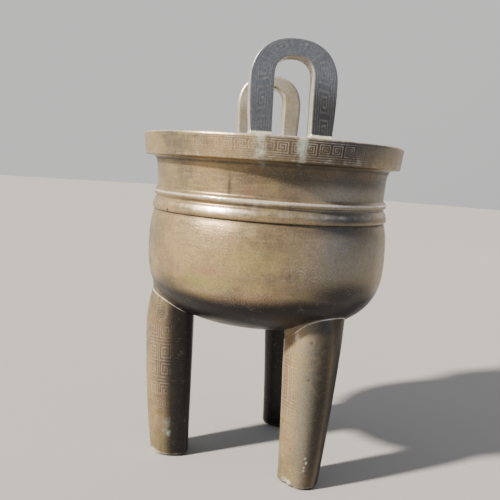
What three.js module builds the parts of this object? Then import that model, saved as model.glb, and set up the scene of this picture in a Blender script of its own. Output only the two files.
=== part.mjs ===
// Bronze tripod vessel of the ding form, in six castings: the bowl with its rim, three legs and
// two loop handles. Millimetres, +Z up, origin on the ground below the middle of the bowl.
// The handles stand on the X axis, two legs on the -Y side and one on the +Y side.

import * as THREE from "three";

// Rim: a flat ring with a tall upright face, which leans in slightly towards its lower edge.
const rimTop = 177;
const rimRadius = 70;
const rimFaceHeight = 11.7;
const rimFaceLean = 1.3;
const mouthRadius = 54;
const rimEdgeRound = 0.5;

// Mouldings from the undercut below the band to the lower edge of the rim face, each point as
// its distance from the axis and its height.
const undercutRadius = 62.6;
const undercutHeight = 137.2;
const bandProfile = [[63.9, 138], [63.6, 140.6], [62.8, 142.8], [62, 143.6]];
const beadProfile = [[62.5, 145.2], [63.2, 146.6], [62.7, 147.9]];
const neckRadius = 61.6;
const neckFoot = 148.8;
const underRimProfile = [[62.2, 160.3], [62.7, 163.5], [64.5, 164.9]];
const mouthLipDepth = 5;
const innerNeckTop = 164.3;
const innerNeckFoot = 140.2;

// Bowl: widest at the swell, then rounding to its underside as a superellipse.
const swellRadius = 64.8;
const swellHeight = 118.5;
const undersideHeight = 77.8;
const bowlRoundness = 2.84;
const wall = 3.6;
const bowlSides = 72;

// Legs: a round outer side and a flatter inner side, thicker at the head than at the foot.
const legHeadReach = 62.2;
const legFootReach = 56.2;
const legReachCurve = 2.2;
const legInnerHead = 37.5;
const legInnerFoot = 36;
const legHalfWidthHead = 16.4;
const legHalfWidthFoot = 9.6;
const legWidthCurve = 1.25;
const legMiddle = 0.46;
const legInnerSquareness = 3.2;
const legHeadHeight = 92;
const legShoulder = 2.7;
const legShoulderHeight = 19;
const collarThin = 0.55;
const collarNarrowing = 2.5;
const collarInset = 1.4;
const footEdge = 2.4;
const legSides = 26;
const jointGap = 0.3;

// Each leg was set by hand, so they differ a little: in the turn round the bowl, in the distance
// of the outer and inner sides from the axis, in the side on which the shoulder draws in most, and
// in the side and depth of the solder collar where it is deepest. The turns are in degrees.
const legPlaces = [
  {
    name: "leg_back", angle: 95.5, outerShift: 1.6, innerShift: 1,
    shoulderTurn: 0, collarTurn: 15, collarDeep: 2.2,
  },
  {
    name: "leg_front_left", angle: 210.5, outerShift: -2.4, innerShift: -2.4,
    shoulderTurn: -38, collarTurn: -130, collarDeep: 4.4,
  },
  {
    name: "leg_front_right", angle: 333, outerShift: 0.5, innerShift: 0.5,
    shoulderTurn: 20, collarTurn: 180, collarDeep: 2,
  },
];

// Handles: upright loops with a flat outer face, open at the foot, where both bars stand on the rim.
const handleOuterFace = 64;
const handleThickness = 11.5;
const handleHeight = 42.6;
const handleHalfWidth = 19.7;
const handleFootInset = 1.2;
const loopHeight = 34.9;
const loopHalfWidth = 8.8;
const archSquareness = 2.3;
const frontEdge = 0.4;
const backEdge = 0.9;

// The handles were set by hand too: one leans a little sideways as it rises (sideways per upward).
const handlePlaces = [
  { name: "handle_left", angle: 180.7, lean: -0.02 },
  { name: "handle_right", angle: -1.2, lean: 0 },
];

const bronze = {
  bowl: new THREE.MeshStandardMaterial({ color: "#6b5a44", roughness: 0.42, metalness: 1 }),
  leg: new THREE.MeshStandardMaterial({ color: "#776448", roughness: 0.45, metalness: 1 }),
  handle: new THREE.MeshStandardMaterial({ color: "#4d4a47", roughness: 0.4, metalness: 1 }),
};

// Height of the bowl's underside, moved outwards by a gap, at a distance from the axis.
function undersideAt(distance, gap) {
  const across = Math.min(distance / (swellRadius + gap), 1);
  const depth = swellHeight - undersideHeight + gap;
  return swellHeight - depth * (1 - across ** bowlRoundness) ** (1 / bowlRoundness);
}

// Points of a superellipse bowl from the axis out to the height of the swell.
function bowlCurve(radius, bottom, steps) {
  const points = [];
  for (let step = 0; step < steps; step += 1) {
    const turn = (step / steps) * (Math.PI / 2);
    const height = swellHeight - (swellHeight - bottom) * Math.cos(turn) ** (2 / bowlRoundness);
    points.push(new THREE.Vector2(radius * Math.sin(turn) ** (2 / bowlRoundness), height));
  }
  return points;
}

// The bowl is one turned profile, out along the underside and back down the inside.
function makeBowl() {
  const rimFoot = rimTop - rimFaceHeight;
  const rimFootRadius = rimRadius - rimFaceLean;
  const wallRadius = neckRadius - wall;
  const outside = bowlCurve(swellRadius, undersideHeight, 13);
  for (const share of [0, 0.35, 0.7, 1]) {
    const narrowing = (swellRadius - undercutRadius) * (1 - Math.cos((share * Math.PI) / 2));
    const height = swellHeight + (undercutHeight - swellHeight) * share;
    outside.push(new THREE.Vector2(swellRadius - narrowing, height));
  }
  const corners = [
    ...bandProfile,
    ...beadProfile,
    [neckRadius, neckFoot],
    ...underRimProfile,
    [rimFootRadius - rimEdgeRound, rimFoot],
    [rimFootRadius, rimFoot + rimEdgeRound],
    [rimRadius, rimTop - rimEdgeRound],
    [rimRadius - rimEdgeRound, rimTop],
    [mouthRadius + rimEdgeRound, rimTop],
    [mouthRadius, rimTop - rimEdgeRound],
    [mouthRadius, rimTop - mouthLipDepth],
    [wallRadius, innerNeckTop],
    [wallRadius, innerNeckFoot],
  ];
  for (const [radius, height] of corners) {
    outside.push(new THREE.Vector2(radius, height));
  }
  const inside = bowlCurve(swellRadius - wall, undersideHeight + wall, 9);
  inside.push(new THREE.Vector2(swellRadius - wall, swellHeight));
  const profile = outside.concat(inside.reverse());
  const bowl = new THREE.LatheGeometry(profile, bowlSides);
  bowl.rotateX(Math.PI / 2);
  return bowl;
}

// A closed skin over rings of equal count, with a fan of faces over the first and the last ring.
function loft(rings) {
  const count = rings[0].length;
  const positions = [];
  for (const ring of rings) {
    for (const point of ring) {
      positions.push(point.x, point.y, point.z);
    }
  }
  const faces = [];
  for (let row = 0; row + 1 < rings.length; row += 1) {
    for (let side = 0; side < count; side += 1) {
      const here = row * count + side;
      const next = row * count + ((side + 1) % count);
      faces.push(here, next, next + count, here, next + count, here + count);
    }
  }
  const lastRow = (rings.length - 1) * count;
  for (const [row, turned] of [[0, true], [lastRow, false]]) {
    const ring = rings[row / count];
    const middle = new THREE.Vector3();
    ring.forEach((point) => middle.addScaledVector(point, 1 / count));
    const centre = positions.length / 3;
    positions.push(middle.x, middle.y, middle.z);
    for (let side = 0; side < count; side += 1) {
      const here = row + side;
      const next = row + ((side + 1) % count);
      faces.push(...(turned ? [centre, next, here] : [centre, here, next]));
    }
  }
  const geometry = new THREE.BufferGeometry();
  geometry.setAttribute("position", new THREE.Float32BufferAttribute(positions, 3));
  geometry.setIndex(faces);
  geometry.computeVertexNormals();
  return geometry;
}

// A point on the outline of a leg, at a height and at a turn from the outermost point.
// The outer half is an ellipse and the inner half a squarer superellipse.
function legPoint(height, turn, leg) {
  const rise = Math.min(height / legHeadHeight, 1);
  const reachGain = (legHeadReach - legFootReach) * (1 - (1 - rise) ** legReachCurve);
  const outer = legFootReach + reachGain + leg.outerShift;
  const inner = legInnerFoot + (legInnerHead - legInnerFoot) * rise + leg.innerShift;
  const widening = (legHalfWidthHead - legHalfWidthFoot) * rise ** legWidthCurve;
  const halfWidth = legHalfWidthFoot + widening;
  const middle = inner + (outer - inner) * legMiddle;
  const cosine = Math.cos(turn);
  const sine = Math.sin(turn);
  const power = cosine > 0 ? 1 : 2 / legInnerSquareness;
  const depth = cosine > 0 ? outer - middle : inner - middle;
  const across = halfWidth * Math.sign(sine) * Math.abs(sine) ** power;
  return { middle, x: middle + depth * Math.abs(cosine) ** power, y: across };
}

// How much of the shoulder a turn takes: all of it on one side, fading to none opposite.
function shoulderShare(turn, leg) {
  const away = turn - THREE.MathUtils.degToRad(leg.shoulderTurn);
  return THREE.MathUtils.smoothstep(Math.cos(away), -0.3, 0.8);
}

// Depth of the solder collar: deep on one side of the leg and a thin line elsewhere.
function collarDepth(turn, leg) {
  const away = turn - THREE.MathUtils.degToRad(leg.collarTurn);
  const share = Math.max(Math.cos(away), 0) ** collarNarrowing;
  return collarThin + (leg.collarDeep - collarThin) * share;
}

// The same point drawn in towards the middle of the leg by a set distance.
function insetPoint(height, turn, leg, inset) {
  const point = legPoint(height, turn, leg);
  const size = Math.hypot(point.x - point.middle, point.y);
  const keep = 1 - inset / size;
  return new THREE.Vector3(point.middle + (point.x - point.middle) * keep, point.y * keep, height);
}

// Height at which the side of a leg, drawn in by a set distance, meets the bowl's underside moved
// outwards by a gap. It is found by repeated correction.
function meetingHeight(turn, leg, inset, gap) {
  let height = legHeadHeight;
  for (let round = 0; round < 20; round += 1) {
    const point = insetPoint(height, turn, leg, inset * shoulderShare(turn, leg));
    height = undersideAt(Math.hypot(point.x, point.y), gap);
  }
  return height;
}

// A leg along +X: rounded foot, tapering shaft and shoulder, then the solder collar that flares up
// to the bowl, hollowed to fit it.
function makeLeg(leg) {
  const turns = [];
  for (let side = 0; side < legSides; side += 1) {
    turns.push((side / legSides) * 2 * Math.PI);
  }
  const seams = turns.map((turn) => {
    return meetingHeight(turn, leg, legShoulder, collarDepth(turn, leg));
  });
  const tops = turns.map((turn) => meetingHeight(turn, leg, collarInset, jointGap));
  const rings = [];
  for (const step of [0, 1, 2, 3]) {
    const roll = (step / 3) * (Math.PI / 2);
    const height = footEdge * (1 - Math.cos(roll));
    const inset = footEdge * (1 - Math.sin(roll));
    rings.push(turns.map((turn) => insetPoint(height, turn, leg, inset)));
  }
  const shaftSteps = 6;
  for (let step = 1; step <= shaftSteps; step += 1) {
    const share = step / shaftSteps;
    rings.push(turns.map((turn, side) => {
      const shaftTop = seams[side] - legShoulderHeight;
      return insetPoint(footEdge + (shaftTop - footEdge) * share, turn, leg, 0);
    }));
  }
  for (const share of [0.4, 0.7, 1]) {
    const inset = legShoulder * share ** 2;
    const drop = legShoulderHeight * (1 - share);
    rings.push(turns.map((turn, side) => {
      return insetPoint(seams[side] - drop, turn, leg, inset * shoulderShare(turn, leg));
    }));
  }
  const rim = turns.map((turn, side) => {
    return insetPoint(tops[side], turn, leg, collarInset * shoulderShare(turn, leg));
  });
  rings.push(rim);
  const middle = legPoint(legHeadHeight, 0, leg).middle;
  for (const keep of [0.72, 0.4]) {
    rings.push(rim.map((point) => {
      const x = middle + (point.x - middle) * keep;
      const y = point.y * keep;
      return new THREE.Vector3(x, y, undersideAt(Math.hypot(x, y), jointGap));
    }));
  }
  return loft(rings);
}

// One cross-section of a handle's bar: a rectangle with cut corners, between an inner and an outer
// point of the loop. Each point is [across, up], and the bar's thickness runs along +X.
function barSection(inner, outer) {
  const away = new THREE.Vector2(outer[0] - inner[0], outer[1] - inner[1]);
  const width = away.length();
  away.normalize();
  const back = handleOuterFace - handleThickness;
  const corners = [
    [handleOuterFace - frontEdge, 0], [back + backEdge, 0],
    [back, backEdge], [back, width - backEdge],
    [back + backEdge, width], [handleOuterFace - frontEdge, width],
    [handleOuterFace, width - frontEdge], [handleOuterFace, frontEdge],
  ];
  return corners.map(([x, along]) => {
    return new THREE.Vector3(x, inner[0] + away.x * along, inner[1] + away.y * along);
  });
}

// A point of the arch for a half-width of one: a superellipse a little fuller than a half circle.
function archPoint(turn) {
  const cosine = Math.cos(turn);
  const power = 2 / archSquareness;
  return [Math.sign(cosine) * Math.abs(cosine) ** power, Math.abs(Math.sin(turn)) ** power];
}

// A handle facing +X: its bar runs up from one foot, over the arch and down to the other foot.
function makeHandle(lean) {
  const outerSpring = handleHeight - handleHalfWidth;
  const innerSpring = loopHeight - loopHalfWidth;
  const sideSteps = 3;
  const archSteps = 18;
  const stations = [];
  for (let step = 0; step < sideSteps; step += 1) {
    const share = step / sideSteps;
    const inset = handleFootInset * (1 - share) ** 2;
    stations.push([
      [-loopHalfWidth, innerSpring * share],
      [-handleHalfWidth + inset, outerSpring * share],
    ]);
  }
  for (let step = 0; step <= archSteps; step += 1) {
    const turn = Math.PI * (1 - step / archSteps);
    const [across, up] = archPoint(turn);
    stations.push([
      [loopHalfWidth * across, innerSpring + loopHalfWidth * up],
      [handleHalfWidth * across, outerSpring + handleHalfWidth * up],
    ]);
  }
  for (let step = sideSteps - 1; step >= 0; step -= 1) {
    const [inner, outer] = stations[step];
    stations.push([[-inner[0], inner[1]], [-outer[0], outer[1]]]);
  }
  const handle = loft(stations.map(([inner, outer]) => barSection(inner, outer)));
  const slant = new THREE.Matrix4();
  slant.set(1, 0, 0, 0, 0, 1, lean, 0, 0, 0, 1, rimTop, 0, 0, 0, 1);
  handle.applyMatrix4(slant);
  return handle;
}

function place(group, name, geometry, material, angle) {
  const piece = new THREE.Mesh(geometry, material);
  piece.name = name;
  piece.rotation.z = THREE.MathUtils.degToRad(angle);
  group.add(piece);
}

const vessel = new THREE.Group();
place(vessel, "bowl", makeBowl(), bronze.bowl, 0);
for (const leg of legPlaces) {
  place(vessel, leg.name, makeLeg(leg), bronze.leg.clone(), leg.angle);
}
for (const handle of handlePlaces) {
  place(vessel, handle.name, makeHandle(handle.lean), bronze.handle.clone(), handle.angle);
}

export default vessel;
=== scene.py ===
"""Bronze tripod vessel of the ding form, with a wire-inlaid rim, legs and loop handles.

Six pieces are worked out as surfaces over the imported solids: the bowl is a turned profile, each leg
a stack of outlines that changes with height, and each handle a bar carried round a loop.
"""
import math

import bpy
import numpy as np
from bpy.props import FloatProperty, FloatVectorProperty, IntProperty, PointerProperty
from mathutils import Matrix, Vector


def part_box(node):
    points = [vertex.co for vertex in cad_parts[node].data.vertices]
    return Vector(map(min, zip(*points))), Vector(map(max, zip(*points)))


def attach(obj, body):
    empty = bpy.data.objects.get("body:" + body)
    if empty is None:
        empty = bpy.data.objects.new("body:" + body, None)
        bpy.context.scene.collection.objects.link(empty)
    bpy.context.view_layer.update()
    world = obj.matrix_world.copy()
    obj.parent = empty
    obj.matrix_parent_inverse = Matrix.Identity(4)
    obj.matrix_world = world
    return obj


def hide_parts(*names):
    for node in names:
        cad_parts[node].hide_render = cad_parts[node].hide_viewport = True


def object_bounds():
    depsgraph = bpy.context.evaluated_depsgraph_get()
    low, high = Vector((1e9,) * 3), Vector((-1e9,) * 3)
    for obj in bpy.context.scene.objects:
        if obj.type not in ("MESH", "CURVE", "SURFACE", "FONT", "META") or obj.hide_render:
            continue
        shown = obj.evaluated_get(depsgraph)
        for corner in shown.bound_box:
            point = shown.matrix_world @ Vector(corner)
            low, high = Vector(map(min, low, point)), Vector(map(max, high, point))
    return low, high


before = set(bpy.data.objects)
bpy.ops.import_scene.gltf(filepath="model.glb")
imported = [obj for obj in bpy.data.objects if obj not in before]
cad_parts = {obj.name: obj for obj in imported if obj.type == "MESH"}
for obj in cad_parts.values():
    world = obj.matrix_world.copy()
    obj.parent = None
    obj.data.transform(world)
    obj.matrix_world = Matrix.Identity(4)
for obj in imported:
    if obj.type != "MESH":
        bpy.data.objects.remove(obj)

CAD_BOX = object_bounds()

bl_info = {
    "name": "Bronze Tripod Vessel",
    "version": (1, 0, 0),
    "blender": (4, 5, 0),
    "location": "View3D > Sidebar > Vessel",
    "description": "Builds an inlaid bronze tripod vessel and the stage it stands on",
    "category": "Add Mesh",
}

MM = 0.001
BOWL_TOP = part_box("bowl")[1].z
HANDLE_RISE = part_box("handle_left")[1].z - BOWL_TOP

# The bowl's casting: its waver and its pits, where its body ends under the band, and how far its
# side draws in by there.
BOWL_WAVER = 0.22 * MM
BOWL_PIT_DEPTH = 0.55 * MM
BODY_TOP = 137.2 * MM
SIDE_DRAW = 2.2 * MM

# A leg's outline: where its two halves meet, and the powers of its inner half and of its growth.
LEG_MIDDLE = 0.46
INNER_POWER = 3.2
REACH_POWER = 2.2
WIDTH_POWER = 1.25
# A leg's casting: its waver, its pits and chips, and how far the edge of its foot is rounded.
LEG_WAVER = 0.15 * MM
LEG_PIT_DEPTH = 0.6 * MM
CHIP_DEPTH = 1.6 * MM
FOOT_EDGE = 2.4 * MM
# A leg's joint: how far the top of the collar is drawn in, the step at the seam, and the gap to
# the bowl, which is less than nothing because the top goes into it.
COLLAR_INSET = 1.2 * MM
SEAM_STEP = 0.12 * MM
SINK = -0.4 * MM

# The loop of a handle: the power of its arch, and how the foot narrows and the solder spreads.
ARCH_POWER = 2.3
FOOT_INSET = 1.2 * MM
FILLET_HEIGHT = 0.9 * MM

# Lengths round the vessel and round a leg that their patterns are laid out on, in mm.
RIM_GIRTH = 2 * math.pi * 70
LEG_GIRTH = 2 * math.pi * 13.5

# Waves round a casting: how many, where they start, and how they slant with height.
WAVES = ((2, 0.4, 9), (3, 1.9, -14), (5, 4.1, 23), (8, 0.7, -31))

# Places on the bowl: direction in degrees, height, half sizes in degrees and mm, and strength.
# Lines round it: height and half width in mm, and strength. Its inlay is still whole where
# "inlay" says so, first on the rim and then on the body and the neck.
BOWL = {
    "pits": (
        (181.7, 114.2, 0.9, 0.9, 1), (184.6, 113.4, 0.7, 0.8, 0.9), (203.7, 156.7, 0.7, 0.7, 0.8),
        (214.7, 171.6, 0.9, 0.9, 1), (121.9, 138.7, 0.8, 1.2, 1), (38, 108, 1, 1, 0.9),
        (62, 155, 0.7, 0.8, 0.8), (296, 122, 0.9, 0.9, 1), (330, 139, 1.2, 0.9, 0.8)),
    "verdigris": (
        (169.2, 171, 3.2, 6.5, 0.85), (184.5, 174.5, 3, 3, 0.9), (184.8, 169.5, 1.8, 5.5, 0.85),
        (144.7, 167.6, 3, 1.2, 0.8), (64, 169.5, 5, 4, 0.8), (301, 172, 3, 5, 0.8),
        (18, 166.5, 6, 1.2, 0.7), (250, 96, 3, 2.5, 0.6)),
    "copper": (
        (168, 99, 26, 5, 0.7), (182, 170, 24, 6, 0.8), (250, 120, 12, 30, 0.5),
        (247, 165, 12, 20, 0.5), (118, 168, 9, 6, 0.4), (40, 100, 26, 8, 0.4),
        (124, 116, 8, 12, 0.5), (146, 112.5, 15, 4, 0.65), (150, 170, 12, 5, 0.6),
        (158, 158.4, 2.5, 0.9, 1), (176, 128, 14, 5, 0.45), (132, 134, 8, 3, 0.5)),
    "olive": (
        (147, 107, 15, 4, 1.1), (168, 119, 22, 9, 0.75), (135, 150, 14, 9, 0.5),
        (182, 124, 14, 9, 0.5), (300, 110, 22, 12, 0.6), (60, 125, 20, 9, 0.5)),
    # Painted shade: most dark patches lie on the shaded side, on the rim, under the band and low
    # down; the rest are dark patina.
    "dark": (
        (197, 171, 28, 9, 1), (176, 171, 14, 8, 0.5), (156.2, 153, 1, 8, 0.7),
        (150, 171, 22, 8, 0.3), (206, 135.5, 26, 4.5, 0.65), (207, 141, 18, 4, 0.7),
        (214, 103, 26, 9, 0.95), (177, 101, 14, 5, 0.45), (136, 105, 13, 4.5, 0.4),
        (128, 101, 14, 7, 0.6), (20, 171, 20, 8, 0.5), (310, 150, 16, 7, 0.5),
        (70, 128, 24, 9, 0.4), (280, 104, 26, 6, 0.6)),
    # Painted shade: on the bowl the black patches take the grey tone and give the cool grey of its
    # shaded side; those on the far side are grey bloom.
    "black": (
        (212, 124, 36, 26, 0.55), (214, 153, 36, 11, 0.65), (216, 172, 30, 7, 0.6),
        (212, 143, 32, 6, 0.7), (30, 128, 30, 16, 0.4), (320, 112, 24, 14, 0.4),
        (262, 150, 30, 12, 0.4), (216, 100, 26, 14, 0.55), (226, 128, 20, 22, 0.45)),
    "inlay": (
        (163, 172, 24, 7, 0.6), (184, 172, 20, 7, 0.8), (60, 172, 40, 7, 0.5),
        (300, 172, 34, 7, 0.6), (148, 130, 20, 8, 0.9), (163, 101, 30, 5, 0.55),
        (192, 116, 14, 9, 0.4), (150, 155, 24, 5, 0.3), (60, 118, 40, 14, 0.5),
        (290, 120, 40, 12, 0.5), (20, 102, 30, 5, 0.5), (240, 102, 26, 5, 0.5),
        (330, 155, 30, 5, 0.4)),
    # Painted highlight: these patches brighten the bead and the band where they face the light.
    "rubbed_and_highlight": ((166, 145.5, 22, 2.2, 0.5), (152, 141.5, 12, 2, 0.4)),
    # Painted shade is left off under the rim on this side, which faces the key light.
    "lit_side": ((132, 157, 30, 40, 0.9),),
    # Crests rubbed bright all round, partly painted highlight.
    "bright_crest_lines": ((146.9, 0.6, 1.1), (141.4, 1.8, 0.45), (176.7, 0.5, 0.8), (166, 0.5, 0.35)),
    "grime_lines": ((137.3, 0.5, 0.9), (144.1, 0.5, 0.6), (148.8, 0.5, 0.4), (163.6, 1.2, 0.7)),
}

# The three legs, each set and worn in its own way. Places on a leg are like those on the bowl, with
# the direction measured round the leg from its outermost line. Shifts and depths are in mm.
# Painted light on the legs: each darkens away from dark_turn as painted shade; most dark patches and
# the grime patches on the inner sides are painted shade, and the rubbed patches high on the
# shoulders, and the broad one on leg_back, are painted highlight.
LEGS = (
    {
        "node": "leg_back", "angle": 95.5, "outer_shift": 1.6, "inner_shift": 1,
        "shoulder_turn": 0, "collar_turn": 15, "collar_deep": 2.2,
        "dark_turn": -10, "inlay_turn": 58,
        "inlay": ((55, 50, 34, 60, 1), (-120, 50, 50, 60, 0.7)),
        "pits": ((62, 38, 4, 0.7, 0.8), (-50, 60, 4, 0.8, 0.8)),
        "chips": ((-120, 0.5, 10, 1.2, 0.5),),
        "dark": ((64, 45, 24, 80, 0.45), (60, 83, 24, 7, 0.6), (64, 27, 20, 9, 0.5)),
        "rubbed_and_highlight": ((25, 45, 22, 40, 0.25), (30, 2, 26, 2.5, 0.6)),
        "grime_and_shade": ((172, 40, 45, 60, 0.5), (120, 50, 30, 60, 0.45)),
        "verdigris": ((76, 18, 15, 7, 0.36), (82, 14.5, 7, 3, 0.5)),
        "copper": ((68, 50, 16, 40, 0.8), (-60, 40, 30, 25, 0.5)),
        "olive": ((35, 60, 18, 30, 0.3), (75, 5, 25, 8, 0.6)),
        "black": ((84, 50, 34, 99, 0.4),),
    },
    {
        "node": "leg_front_left", "angle": 210.5, "outer_shift": -2.4, "inner_shift": -2.4,
        "shoulder_turn": -38, "collar_turn": -130, "collar_deep": 4.4,
        "dark_turn": -60, "inlay_turn": -89,
        "inlay": ((-96, 45, 26, 60, 1.2), (130, 50, 50, 60, 0.6)),
        "pits": ((-40, 79.5, 3, 0.7, 1), (-43, 60.4, 2.5, 0.6, 1),
                 (-20, 30, 3, 0.6, 0.7), (-64, 33, 2.5, 0.5, 0.7)),
        "chips": ((-86, 0.4, 9, 2.2, 1), (-62, 0.2, 8, 1.2, 0.7), (100, 0.3, 10, 1.2, 0.6)),
        "dark": ((-12, 45, 34, 99, 0.85), (30, 45, 40, 99, 1)),
        "rubbed_and_highlight": ((-78, 81, 14, 4, 0.65), (-82, 3.5, 14, 2, 0.7)),
        "grime_and_shade": ((40, 45, 34, 60, 0.5), (-132, 45, 7, 60, 0.5), (-86, 0.6, 7, 1.6, 0.9)),
        "verdigris": ((-34, 18.5, 3, 0.8, 0.9), (-30, 16, 2.5, 0.9, 0.9),
                      (-34, 13.5, 3, 0.7, 0.9), (-34, 11.5, 2.5, 0.7, 0.9),
                      (-40, 18, 2.5, 0.6, 0.7), (-95, 16, 3, 1, 0.7), (-70, 3, 8, 1.6, 0.9)),
        "copper": ((-98, 60, 16, 30, 0.8), (-90, 25, 18, 14, 0.7),
                   (-77, 21.5, 5, 1.6, 1.3), (150, 40, 30, 30, 0.4)),
        "olive": ((-56, 50, 16, 60, 0.5), (-60, 8, 30, 10, 0.6)),
        "black": ((-38, 50, 42, 80, 0.62),),
    },
    {
        "node": "leg_front_right", "angle": 333, "outer_shift": 0.5, "inner_shift": 0.5,
        "shoulder_turn": 20, "collar_turn": 180, "collar_deep": 2,
        "dark_turn": 0, "inlay_turn": 20,
        "inlay": ((0, 50, 70, 60, 0.9),),
        "pits": ((10, 52, 4, 0.8, 0.8), (75, 24, 3, 0.7, 0.7)),
        "chips": ((60, 0.3, 12, 1.3, 0.6),),
        "dark": ((60, 30, 24, 40, 0.4),),
        "rubbed_and_highlight": ((20, 78, 20, 4, 0.5), (0, 2, 40, 2, 0.5)),
        "grime_and_shade": ((-150, 40, 40, 60, 0.6), (180, 60, 40, 30, 0.3)),
        "verdigris": ((-20, 9, 6, 2, 0.7),),
        "copper": ((45, 50, 24, 26, 0.7), (-50, 28, 18, 14, 0.5)),
        "olive": ((0, 40, 26, 40, 0.6),),
        "black": ((-20, 60, 24, 30, 0.25),),
    },
)

# The two handles: how each leans for its height, how far its edges are rounded and its solder
# spreads, in mm, and how dark the metal round its faces is.
HANDLES = (
    {"node": "handle_left", "angle": 180.7, "lean": -0.02, "edge_front": 0.7, "edge_back": 1,
     "fillet": 0.9, "stain": 0},
    {"node": "handle_right", "angle": -1.2, "lean": 0, "edge_front": 0.8, "edge_back": 1.8,
     "fillet": 0.8, "stain": 0.2},
)

# The named fields that the finish reads, three to an attribute.
MARKS = {
    "wear": ("rubbed_and_highlight", "grime_and_shade", "verdigris"),
    "tint": ("copper", "olive", "left"),
    "ground": ("dark", "black", "solder"),
}

# How the edge of each layer of the finish breaks up: the noise's reach, and where its smooth step
# starts and ends.
EDGES = {
    "thin": (0.2, 0.28, 0.68), "left": (1.8, 0, 1.2),
    "olive_bloom": (0.25, 0.45, 1.05), "copper_bloom": (-0.25, 0.5, -0.1),
    "olive": (0.7, 0.2, 1.2), "copper": (0.9, 0.2, 1.4),
    "black": (0.5, 0.1, 0.7), "dark": (0.35, 0.05, 1),
    "rubbed_and_highlight": (0.7, 0.25, 1.1), "grime_and_shade": (0.6, 0.2, 1),
    "verdigris": (1.3, 0.1, 1), "solder": (0.6, 0.3, 0.8),
    "bare_points": (0.3, 0.68, 1.15),
}

# The three finishes: the colours of the thin patina, of the thick patina and of the marks called
# black; how far the inlay's lines stand out; and how much the chart is squeezed before the marks
# of wiping are drawn on it, so that they run along the way the cloth went.
BOWL_FINISH = {"tones": ("light", "deep", "grey"), "shown": 0.6, "wiping": (0.12, 1, 1)}
LEG_FINISH = {"tones": ("light", "deep", "grey"), "shown": 0.38, "wiping": (1, 0.1, 1)}
HANDLE_FINISH = {"tones": ("pale", "dull", "black"), "shown": 0.28, "wiping": (0.15, 1, 1)}

# The middle and half the height of the bands that carry inlay, in mm.
RIM_BAND = (171.15, 5.25)
BODY_BAND = (115, 20.5)
NECK_BAND = (155.5, 5)
SHAFT_BAND = (56, 20)

# The floor's radius, and how many rings and sectors it has.
FLOOR_RADIUS = 4
FLOOR_RINGS = 24
FLOOR_SECTORS = 96

# The direction that the room is brightest in, and the point that the lights are aimed at.
BRIGHT_SIDE = (0.68, 0.2, 0.7)
AIM = (0, 0, 0.11)

# The lights: where each stands, by azimuth and elevation in degrees and by distance in metres.
# The first is a sun softened to the angle given, and the others are weak softboxes, in metres.
LIGHTS = (
    {"name": "key_light", "kind": "SUN", "power": "key_power", "angle": math.radians(4),
     "azimuth": 115, "elevation": 35, "distance": 1.1, "tint": "#fff4e4"},
    {"name": "rim_softbox", "kind": "AREA", "power": "rim_power", "size": 0.6,
     "azimuth": -44, "elevation": 18, "distance": 1.3, "tint": "#f0cfc8"},
    {"name": "cool_softbox", "kind": "AREA", "power": "fill_power", "size": 1,
     "azimuth": -125, "elevation": 14, "distance": 1.5, "tint": "#a3bdff"},
)


def linear(code):
    """An sRGB hex code as linear red, green, blue and alpha."""
    channels = np.array([int(code[i:i + 2], 16) for i in (1, 3, 5)]) / 255
    values = np.where(channels <= 0.04045, channels / 12.92, ((channels + 0.055) / 1.055) ** 2.4)
    return (*values, 1.0)


# ---------------------------------------------------------------------------- settings

def length_of(name, description, default):
    """A setting in metres."""
    return FloatProperty(name=name, description=description, default=default, unit="LENGTH")


def angle_of(name, description, degrees):
    """A setting that is an angle, with its default given in degrees."""
    return FloatProperty(name=name, description=description, default=math.radians(degrees),
                         unit="ROTATION")


def colour_of(name, description, code):
    """A setting that is a colour, with its default given as an sRGB hex code."""
    return FloatVectorProperty(name=name, description=description, default=linear(code), size=4,
                               subtype="COLOR")


def steps_of(description, default, least):
    """A setting for how many faces go round a piece."""
    return IntProperty(name="Steps round", description=description, default=default, min=least)


class BowlSizes(bpy.types.PropertyGroup):
    """Sizes of the bowl, its neck and its rim."""

    rim_radius: length_of("Rim radius", "Outer radius at the top of the rim face", 0.070)
    rim_face: length_of("Rim face", "Height of the upright face of the rim", 0.0117)
    mouth_radius: length_of("Mouth radius", "Radius of the opening in the rim", 0.054)
    neck_radius: length_of("Neck radius", "Radius of the neck between rim and bead", 0.0616)
    swell_radius: length_of("Swell radius", "Radius of the bowl at its widest", 0.0648)
    swell_height: length_of("Swell height", "Height of the widest place above the ground", 0.1185)
    underside: length_of("Underside", "Height of the bowl's underside above the ground", 0.0778)
    roundness: FloatProperty(
        name="Roundness", description="Power of the superellipse below the swell", default=2.84)
    wall: length_of("Wall", "Thickness of the cast wall", 0.0036)
    around: steps_of("Faces round the bowl", 420, 48)


class LegSizes(bpy.types.PropertyGroup):
    """Sizes that the three legs share. Reaches are measured from the vessel's axis."""

    head_reach: length_of("Head reach", "Reach of the leg's outer side at the head", 0.0622)
    foot_reach: length_of("Foot reach", "Reach of the leg's outer side at the foot", 0.0562)
    inner_head: length_of("Inner head", "Reach of the leg's inner side at the head", 0.0375)
    inner_foot: length_of("Inner foot", "Reach of the leg's inner side at the foot", 0.036)
    half_head: length_of("Half width at head", "Half of the leg's width at the head", 0.0164)
    half_foot: length_of("Half width at foot", "Half of the leg's width at the foot", 0.0096)
    head_height: length_of("Head height", "Height over which the leg widens", 0.092)
    shoulder: length_of("Shoulder", "How far the shoulder draws in below the joint", 0.0027)
    shoulder_height: length_of(
        "Shoulder height", "Height over which the shoulder draws in", 0.019)
    collar: length_of("Collar", "Depth of the solder collar where it is thinnest", 0.00055)
    around: steps_of("Faces round each leg", 144, 24)


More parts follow.
